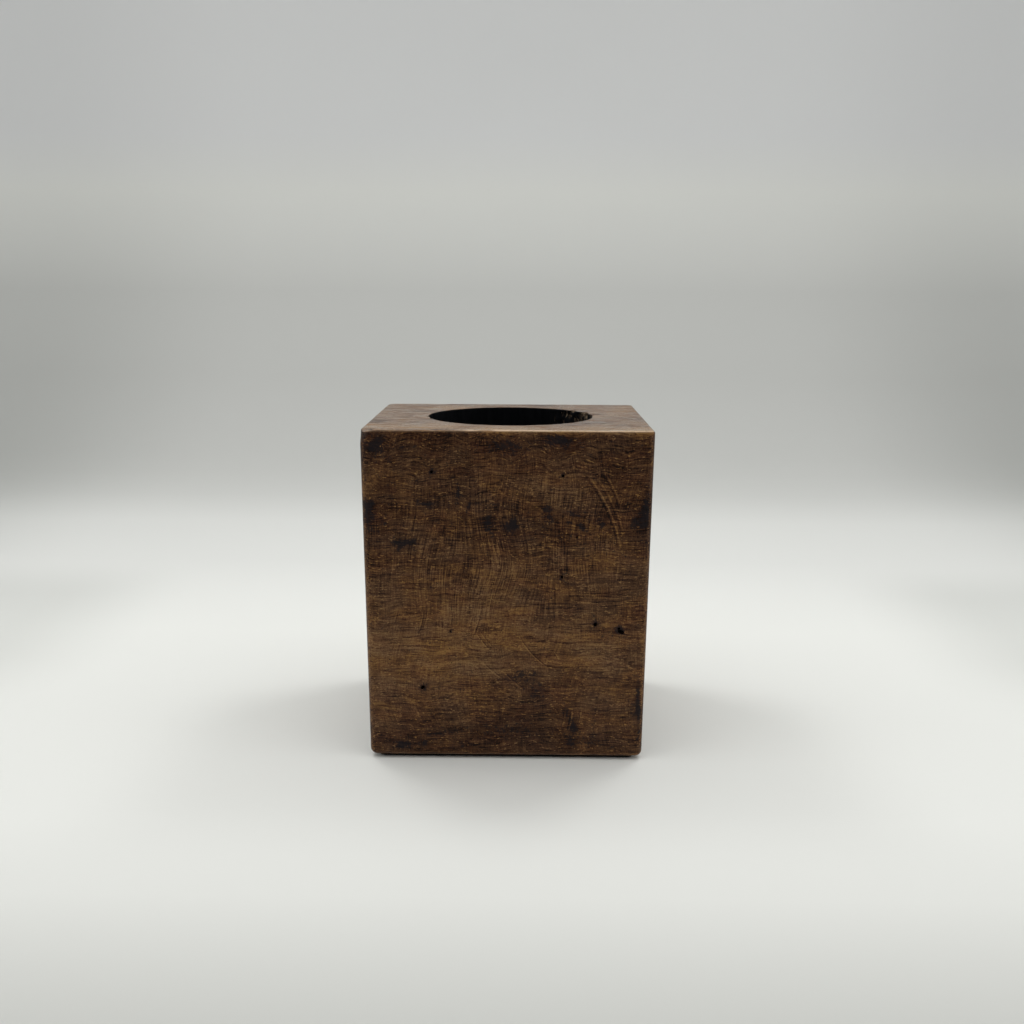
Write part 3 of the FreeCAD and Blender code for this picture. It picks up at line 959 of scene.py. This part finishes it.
on_front = add(tree, "ShaderNodeCombineXYZ", [axes["X"], 0.0, axes["Z"]])
strokes = 0.0
for x0, z0, x1, z1, bulge, width, contrast in STROKES:
    start, end = Vector((x0, z0)), Vector((x1, z1))
    chord = end - start
    middle, way = (start + end) / 2, chord.normalized()
    arc_radius = (chord.length_squared / 4 + bulge * bulge) / (2 * bulge)
    centre = middle + Vector((-way.y, way.x)) * (bulge - arc_radius)
    from_centre, from_middle = (
        add(tree, "ShaderNodeVectorMath", [on_front, (point.x, 0.0, point.y)], out="Value",
            operation="DISTANCE") for point in (centre, middle))
    profile = add(tree, "ShaderNodeMapRange", {
        "Value": from_centre, "From Min": abs(arc_radius) - 2 * width,
        "From Max": abs(arc_radius) + 2 * width})
    profile = add(tree, "ShaderNodeValToRGB", {"Fac": profile}, out="Color", stops=GROOVE_PROFILE)
    shown = add(tree, "ShaderNodeMapRange", {
        "Value": from_middle, "From Min": 0.52 * chord.length, "From Max": 0.3 * chord.length,
        "To Max": STROKE_STRENGTH * contrast})
    groove = add(tree, "ShaderNodeMath", [profile, 0.5], operation="SUBTRACT")
    strokes = add(tree, "ShaderNodeMath", [groove, shown, strokes], operation="MULTIPLY_ADD")
on_front_face = add(tree, "ShaderNodeMath", [axes["Y"], 3.0 - HALF_DEPTH], operation="LESS_THAN")
broken = add(tree, "ShaderNodeMapRange", {
    "Value": layers["mottle"], "From Min": 0.3, "From Max": 0.6, "To Min": 0.5})
for factor in (on_front_face, broken):
    strokes = add(tree, "ShaderNodeMath", [strokes, factor], operation="MULTIPLY")
tone = add(tree, "ShaderNodeMath", [tone, strokes], operation="ADD")
print(len(STROKES), "strokes")

# %% [markdown]
# ## Dirt, wear, painted edge light and the colour
#
# The dirt is known only every millimetre or so. A fine noise added to it before the cut
# makes its outline ragged, as a stain's edge is on wood. The upright edges and the round of
# the base are painted paler: a painted sheen on the upright rounds, and painted bounce light
# from the table on the base. Most of a narrow strip of the front just under the top is paler
# too, partly wear and partly a painted highlight of its round. The front edge of the top has
# lost its stain in a thin line, which is faint at the left, worn right through in the middle,
# and broken where dirt lies; that line, and a fainter pale line along every edge, are also a
# painted highlight. Redder stain and a film of grey wax change the colour a little in patches.

# %% Dirt and painted edge light
ragged = known_here["dirt"]
for layer, amount in (("mottle", 4.6), ("specks", 2.8)):
    ragged = add(tree, "ShaderNodeMath", [layers[layer], amount, ragged], operation="MULTIPLY_ADD")
dirty = add(tree, "ShaderNodeMapRange", {"Value": ragged, "From Min": 4.38, "From Max": 4.85})
darker = add(tree, "ShaderNodeMapRange", {
    "Value": known_here["dirt"], "From Min": 0.10, "From Max": 1.4, "To Max": -11.0})
tone = add(tree, "ShaderNodeMath", [tone, darker], operation="ADD")
tone = add(tree, "ShaderNodeMath", [known_here["chipped"], -10.0, tone], operation="MULTIPLY_ADD")
# Painted light on the edges below the top: a painted sheen on the upright rounds and painted bounce
# light from the table on the round of the base.
painted_edge_light = add(tree, "ShaderNodeMapRange", {
    "Value": known_here["from_edge"], "From Min": 1.8, "From Max": 0.5, "To Max": 14.0})
not_top = add(tree, "ShaderNodeMath", [axes["Z"], TOP - 4.0], operation="LESS_THAN")
tone = add(tree, "ShaderNodeMath", [painted_edge_light, not_top, tone], operation="MULTIPLY_ADD")

# The strip under the top's front edge is partly wear and partly a painted highlight of the round.
WORN_AND_HIGHLIT_STRIP = (                  # along which axis, where it starts, where it is full, how much
    ("Z", TOP - 2.0, TOP - 0.7, 1.0),
    ("Y", 2.0 - HALF_DEPTH, 0.9 - HALF_DEPTH, 1.0),
    ("X", -18.0, -4.0, 26.0),
)
strip, strip_front, strip_right = (
    add(tree, "ShaderNodeMapRange", {
        "Value": axes[axis], "From Min": start, "From Max": full, "To Max": most})
    for axis, start, full, most in WORN_AND_HIGHLIT_STRIP)
strip = add(tree, "ShaderNodeMath", [strip, strip_front], operation="MULTIPLY")
tone = add(tree, "ShaderNodeMath", [strip, strip_right, tone], operation="MULTIPLY_ADD")
print("dirt and worn edges on,", len(tree.nodes), "nodes so far")

# %% Stain, wax and dirt as colours
BROWNS = (      # tone, and the colour of the wood under the wax
    (20, "160b06"), (32, "321b0d"), (42, "432a19"), (53, "543923"), (65, "69492b"), (81, "815d35"),
    (90, "906b3c"),
)
REDDER = ((0.0, "180a08"), (0.31, "45231a"), (0.64, "6c4530"), (1.0, "8a6246"))
GREY_WAX = ((0.0, "120f0e"), (0.5, "4a382b"), (1.0, "7a6552"))
OLD_DIRT = "181519"

darkest, lightest = BROWNS[0][0], BROWNS[-1][0]
ramp_place = add(tree, "ShaderNodeMapRange", {
    "Value": tone, "From Min": darkest, "From Max": lightest})
browns = [((step - darkest) / (lightest - darkest), brown) for step, brown in BROWNS]
wood_colour, red_stain, grey_wax = (
    add(tree, "ShaderNodeValToRGB", {"Fac": ramp_place}, out="Color", stops=stops)
    for stops in (browns, REDDER, GREY_WAX))
redder = add(tree, "ShaderNodeMapRange", {
    "Value": grain_noise(bent, (9.0, 3.5, 3.5), 2.0), "From Min": 0.42, "From Max": 0.70,
    "To Max": 0.30})
film = add(tree, "ShaderNodeMapRange", {
    "Value": grain_noise(place, (17.0, 17.0, 9.0), 2.0), "From Min": 0.40, "From Max": 0.62,
    "To Max": 0.36})
dirt_cover = add(tree, "ShaderNodeMath", [dirty, 0.85], operation="MULTIPLY")
for share, colour in ((redder, red_stain), (film, grey_wax), (dirt_cover, srgb(OLD_DIRT))):
    wood_colour = add(tree, "ShaderNodeMix", {
        "Factor": share, "A": wood_colour, "B": colour,
    }, data_type="RGBA")
print(len(BROWNS), "browns from", darkest, "to", lightest)

# %% Bare wood and painted highlight along the edges
# The pale line along the edges is bare wood and a painted highlight of the round edges, brightest
# where it is worn right through.
BARE_WOOD_AND_HIGHLIGHT = "ccb090"
WORN_AND_HIGHLIT_MIDDLE = 6.0              # X of the middle of the stretch that is worn right through

thin_line = add(tree, "ShaderNodeMapRange", {
    "Value": known_here["from_edge"], "From Min": 0.85, "From Max": 0.35})
bare_and_highlight = add(tree, "ShaderNodeMath", [thin_line, 0.12], operation="MULTIPLY")
upper_side = add(tree, "ShaderNodeMapRange", {
    "Value": axes["Z"], "From Min": TOP - 0.36, "From Max": TOP - 0.24})
by_front = add(tree, "ShaderNodeMapRange", {
    "Value": axes["Y"], "From Min": 4.2 - HALF_DEPTH, "From Max": 1.4 - HALF_DEPTH})
unbroken = add(tree, "ShaderNodeMapRange", {
    "Value": grain_noise(place, (12.0, 9.0, 9.0), 3.0), "From Min": 0.40, "From Max": 0.56,
    "To Max": 0.9})
off_worn_and_highlit = add(tree, "ShaderNodeMath", [axes["X"], WORN_AND_HIGHLIT_MIDDLE], operation="SUBTRACT")
off_worn_and_highlit = add(tree, "ShaderNodeMath", [off_worn_and_highlit], operation="ABSOLUTE")
worn_and_highlit_middle = add(tree, "ShaderNodeMapRange", {
    "Value": off_worn_and_highlit, "From Min": 15.0, "From Max": 8.0, "To Max": 0.7})
unbroken = add(tree, "ShaderNodeMath", [unbroken, worn_and_highlit_middle], operation="ADD", use_clamp=True)
fainter_left = add(tree, "ShaderNodeMapRange", {
    "Value": axes["X"], "From Min": -26.0, "From Max": -14.0, "To Min": 0.2})
clean = add(tree, "ShaderNodeMath", [1.0, dirty], operation="SUBTRACT")
front_wear_and_highlight = upper_side
for factor in (by_front, unbroken, fainter_left, clean):
    front_wear_and_highlight = add(tree, "ShaderNodeMath", [front_wear_and_highlight, factor], operation="MULTIPLY")
bare_and_highlight = add(tree, "ShaderNodeMath", [bare_and_highlight, front_wear_and_highlight], operation="MAXIMUM")
wood_colour = add(tree, "ShaderNodeMix", {
    "Factor": bare_and_highlight, "A": wood_colour, "B": srgb(BARE_WOOD_AND_HIGHLIGHT),
}, data_type="RGBA")
tree.links.new(wood_colour, timber_shader.inputs["Base Color"])
print("bare wood shows as", BARE_WOOD_AND_HIGHLIGHT)

# %% Gloss and relief
# A thin rubbed wax: smooth on the bands that were polished, duller in dirt and open pores.
gloss = 0.20
for layer, amount in ((layers["fibres"], 0.20), (dirty, 0.22), (top_mottle, -1.4)):
    gloss = add(tree, "ShaderNodeMath", [layer, amount, gloss], operation="MULTIPLY_ADD")
tree.links.new(gloss, timber_shader.inputs["Roughness"])
timber_shader.inputs["IOR"].default_value = 1.45
timber_shader.inputs["Specular IOR Level"].default_value = 0.12

relief = layers["specks"]
for layer, amount in ((layers["fibres"], 0.6), (pores, -0.5), (strokes, 0.02), (hatching, 0.8)):
    relief = add(tree, "ShaderNodeMath", [layer, amount, relief], operation="MULTIPLY_ADD")
relief = add(tree, "ShaderNodeBump", {"Height": relief, "Strength": 0.5, "Distance": 0.12 * MM})
tree.links.new(relief, timber_shader.inputs["Normal"])
print("timber with", len(tree.nodes), "nodes")

# %% [markdown]
# ## The buffed top
#
# Only the top was buffed, so it mirrors the room at a low angle where the sides stay dull.
# How strongly a surface mirrors is one number for the whole of it, the specular level. So
# the top is a copy of the timber with a higher level and a coarser relief, and the pattern
# of the wood runs on from one to the other without a seam.

# %% Buffed top
buffed = timber.copy()
buffed.name = "dark_stained_pine_with_buffed_wax"
buffed.node_tree.nodes["Principled BSDF"].inputs["Specular IOR Level"].default_value = 0.62
buffed.node_tree.nodes["Bump"].inputs["Distance"].default_value = 0.34 * MM
print(buffed.name, "follows", timber.name)

# %% [markdown]
# ## The bore's coat
#
# The bore was brushed with a matt black fireproof paint, which swallows nearly all light.
# Where the drill tore the end grain, raw fibres stand through the paint in grey-brown. The
# buffed top and the coat are the second and third materials of the same piece, each on the
# faces whose corners all have its attribute.

# %% Bore coat
RAW_WOOD = ((0.35, "2e261f"), (0.52, "6c5b4a"), (0.66, "b8a285"))
BRUSHED_BLACK = ((0.3, "060709"), (0.7, "111214"))

coat, tree, coat_shader = new_finish("matt_black_bore_coat")
place = place_in_mm(tree)
torn_here = add(tree, "ShaderNodeAttribute", out="Fac", attribute_name="torn")
raw = add(tree, "ShaderNodeMath", [grain_noise(place, (0.7, 0.7, 1.6), 2.0), torn_here],
          operation="MULTIPLY")
raw = add(tree, "ShaderNodeMapRange", {
    "Value": raw, "From Min": 0.10, "From Max": 0.36, "To Max": 0.9})
raw_wood, brushed = (
    add(tree, "ShaderNodeValToRGB", {"Fac": grain_noise(place, size, detail)}, out="Color",
        stops=stops)
    for size, detail, stops in (
        ((1.4, 0.5, 3.0), 1.0, RAW_WOOD), ((2.0, 2.0, 9.0), 2.0, BRUSHED_BLACK)))
coat_colour = add(tree, "ShaderNodeMix", {
    "Factor": raw, "A": brushed, "B": raw_wood,
}, data_type="RGBA")
tree.links.new(coat_colour, coat_shader.inputs["Base Color"])
coat_shader.inputs["Roughness"].default_value = 0.75
coat_shader.inputs["Specular IOR Level"].default_value = 0.04
rough = grain_noise(place, (0.6, 0.6, 1.6), 2.0)
rough = add(tree, "ShaderNodeBump", {"Height": rough, "Strength": 0.6, "Distance": 0.25 * MM})
tree.links.new(rough, coat_shader.inputs["Normal"])
print("coat with", len(tree.nodes), "nodes")

# %% Which face has which finish
finish_of_face = [0] * len(block.data.polygons)
for number, (finish, attribute) in enumerate(((buffed, "on_top"), (coat, "in_bore")), start=1):
    block.data.materials.append(finish)
    has = [item.value > 0.5 for item in block.data.attributes[attribute].data]
    finish_of_face = [number if all(has[corner] for corner in face.vertices) else before
                      for before, face in zip(finish_of_face, block.data.polygons)]
    print(finish_of_face.count(number), "faces are", finish.name)
block.data.polygons.foreach_set("material_index", finish_of_face)

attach(block, "root")
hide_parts("wood_block")

# %% [markdown]
# ## Splinters in the bore
#
# Torn end grain isn't only hollow. Short slivers of it stay fixed at one end and stand up
# towards the mouth. One tree of Geometry Nodes scatters thin cones over a surface where an
# attribute asks for them, each leaning its own way. It is written once with named sizes, as
# the loose fibres of the felt are the same thing, only finer.

# %% A tree for slivers
LOWEST, HIGHEST = 0.02, TOP - 0.1       # mm that slivers keep between


def sliver_tree(name, sizes, attribute, material):
    """A tree that leaves only thin cones, standing on the mesh it is given."""
    tree, given, end = new_tree(name, sizes)
    asked = add(tree, "GeometryNodeInputNamedAttribute", {"Name": attribute}, data_type="FLOAT")
    asked = add(tree, "ShaderNodeMapRange", {"Value": asked, "From Min": 0.2, "From Max": 0.8})
    density = add(tree, "ShaderNodeMath", [asked, given["Slivers Per Square Millimetre"]],
                  operation="MULTIPLY")
    density = add(tree, "ShaderNodeMath", [density, 1 / MM ** 2], operation="MULTIPLY")
    scattered = add(tree, "GeometryNodeDistributePointsOnFaces", {
        "Mesh": given["Geometry"], "Density": density, "Seed": given["Seed"],
    }, distribute_method="RANDOM")
    way = add(tree, "FunctionNodeRandomValue", {
        "Min": (-1, -1, -1), "Max": (1, 1, 1), "Seed": given["Seed"],
    }, data_type="FLOAT_VECTOR")
    way = add(tree, "ShaderNodeVectorMath", {
        "Vector": way, "Scale": given["Disorder"],
    }, operation="SCALE")
    way = add(tree, "ShaderNodeVectorMath", [way, scattered.node.outputs["Normal"]],
              operation="ADD")
    upwards = add(tree, "ShaderNodeCombineXYZ", [0.0, 0.0, given["Upward Pull"]])
    way = add(tree, "ShaderNodeVectorMath", [way, upwards], operation="ADD")
    turned = add(tree, "FunctionNodeAlignRotationToVector", {"Vector": way}, axis="Z")
    length = add(tree, "FunctionNodeRandomValue", {
        "Min": given["Shortest"], "Max": given["Longest"], "Seed": given["Seed"],
    }, data_type="FLOAT")
    thin = add(tree, "ShaderNodeMath", [given["Half Thickness"], MM], operation="MULTIPLY")
    cone = add(tree, "GeometryNodeMeshCone", {
        "Vertices": 4, "Radius Top": 0.0, "Radius Bottom": thin, "Depth": MM})
    stretch = add(tree, "ShaderNodeCombineXYZ", [1.0, 1.0, length])
    flow = add(tree, "GeometryNodeInstanceOnPoints", {
        "Points": scattered, "Instance": cone, "Rotation": turned, "Scale": stretch})
    flow = add(tree, "GeometryNodeRealizeInstances", [flow])

    # None reaches below the table or above the top: what does is pressed flat there.
    place = add(tree, "GeometryNodeInputPosition")
    place = add(tree, "ShaderNodeSeparateXYZ", [place]).node.outputs
    height = add(tree, "ShaderNodeMath", [place["Z"], LOWEST * MM], operation="MAXIMUM")
    height = add(tree, "ShaderNodeMath", [height, HIGHEST * MM], operation="MINIMUM")
    pressed = add(tree, "ShaderNodeCombineXYZ", [place["X"], place["Y"], height])
    flow = add(tree, "GeometryNodeSetPosition", {"Geometry": flow, "Position": pressed})
    flow = add(tree, "GeometryNodeSetMaterial", {"Geometry": flow, "Material": material})
    tree.links.new(flow, end)
    return tree


def standing_on(name, piece):
    """A new object with a copy of another's mesh, to scatter slivers over."""
    made = bpy.data.objects.new(name, piece.data.copy())
    bpy.context.collection.objects.link(made)
    return made


print("slivers keep between", LOWEST, "and", round(HIGHEST, 1), "mm")

# %% Splinters
TORN_PINE = ((0.3, "1c1713"), (0.5, "54463a"), (0.7, "a8947a"))
SPLINTER_SIZES = {"Slivers Per Square Millimetre": 0.9, "Shortest": 0.8, "Longest": 3.0,
                  "Half Thickness": 0.16, "Disorder": 0.7, "Upward Pull": 1.8, "Seed": 5}

raw_pine, tree, raw_shader = new_finish("raw_torn_pine")
mixed = grain_noise(place_in_mm(tree), (1.5, 1.5, 1.5), 1.0)
mixed = add(tree, "ShaderNodeValToRGB", {"Fac": mixed}, out="Color", stops=TORN_PINE)
tree.links.new(mixed, raw_shader.inputs["Base Color"])
raw_shader.inputs["Roughness"].default_value = 0.8
raw_shader.inputs["Specular IOR Level"].default_value = 0.1

splinters = standing_on("torn_grain_splinters", block)
torn_tree = sliver_tree("torn_grain", SPLINTER_SIZES, "torn", raw_pine)
run_tree(splinters, torn_tree, SPLINTER_SIZES)
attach(splinters, "root")
print(len(splinters.data.vertices) // 5, "splinters")

# %% [markdown]
# ## The felt under the base
#
# Self-adhesive wool felt is cut with shears a few millimetres smaller than the base, so it
# doesn't show from above. It is only a dark line between the wood and the table. The sheet
# is a closed skin of rings like the block's, and its cut edge wanders by a third of a
# millimetre.

# %% The felt's skin
FELT_CORNER = 3.0
FELT_EDGE = (           # how far in, and at what share of its thickness
    (0.18, 0.0), (0.0, 0.3), (0.0, 0.9), (0.18, 1.0),
)
FELT_CORNER_STEPS = 6
FELT_STEPS = (48, 44)           # points along its front and its ends
SHEARS_WANDER = 0.35
INNER_SHARES = (0.25, 0.5, 0.75, 0.93)      # how far out the rings lie that fill its two sides


def felt_ring(inset, level):
    """One ring round the felt, drawn in by the inset and by the wander of the shears."""
    drawn_in = []
    cut_line = rounded_ring(felt_high.x, felt_high.y, level, [FELT_CORNER] * 4,
                            FELT_CORNER_STEPS, FELT_STEPS)
    for point in cut_line:
        wander = SHEARS_WANDER * (0.5 + 0.5 * noise.noise(Vector((point.x / 6, point.y / 6, 4.0))))
        share = 1 - (inset + wander) / max(abs(point.x), abs(point.y))
        drawn_in.append(Vector((point.x * share, point.y * share, level)))
    return drawn_in


def shrunk(ring, share):
    """A ring drawn in towards the middle, at the same height."""
    return [Vector((point.x * share, point.y * share, point.z)) for point in ring]


thickness = felt_high.z - felt_low.z
edge_rings = [felt_ring(inset, felt_low.z + share * thickness) for inset, share in FELT_EDGE]
felt_rings = [shrunk(edge_rings[0], share) for share in INNER_SHARES] + edge_rings
felt_rings += [shrunk(edge_rings[-1], share) for share in reversed(INNER_SHARES)]
felt_poles = (Vector((0, 0, felt_low.z)), Vector((0, 0, felt_high.z)))
felt = closed_skin("felt_sheet", felt_rings, *felt_poles)
edge_ring_numbers = range(len(INNER_SHARES), len(INNER_SHARES) + len(FELT_EDGE))
on_edge = [1.0 if index // len(felt_rings[0]) in edge_ring_numbers else 0.0
           for index in range(len(felt.data.vertices))]
felt.data.attributes.new("cut_edge", "FLOAT", "POINT").data.foreach_set("value", on_edge)
print(len(felt.data.vertices), "points of felt,", int(sum(on_edge)), "of them on its cut edge")

# %% Wool
FELT_BLACKS = ((0.3, "060606"), (0.7, "141416"))

wool, tree, wool_shader = new_finish("black_wool_felt")
place = place_in_mm(tree)
matted = grain_noise(place, (0.5, 0.5, 0.5), 3.0)
blacks = add(tree, "ShaderNodeValToRGB", {"Fac": matted}, out="Color", stops=FELT_BLACKS)
tree.links.new(blacks, wool_shader.inputs["Base Color"])
wool_shader.inputs["Roughness"].default_value = 0.95
wool_shader.inputs["Specular IOR Level"].default_value = 0.1
wool_shader.inputs["Sheen Weight"].default_value = 0.15
bumps = add(tree, "ShaderNodeBump", {"Height": matted, "Strength": 0.7, "Distance": 0.2 * MM})
tree.links.new(bumps, wool_shader.inputs["Normal"])
felt.data.materials.append(wool)
print("wool with", len(tree.nodes), "nodes")

# %% Loose fibres
FIBRE_SIZES = {"Slivers Per Square Millimetre": 3.5, "Shortest": 0.4, "Longest": 1.4,
               "Half Thickness": 0.03, "Disorder": 1.0, "Upward Pull": 0.0, "Seed": 9}
felt_fibres = standing_on("felt_fibres", felt)
fibre_tree = sliver_tree("loose_fibres", FIBRE_SIZES, "cut_edge", wool)
run_tree(felt_fibres, fibre_tree, FIBRE_SIZES)
for piece in (felt, felt_fibres):
    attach(piece, "root")
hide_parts("base_felt")
print(len(felt_fibres.data.vertices) // 5, "loose fibres")
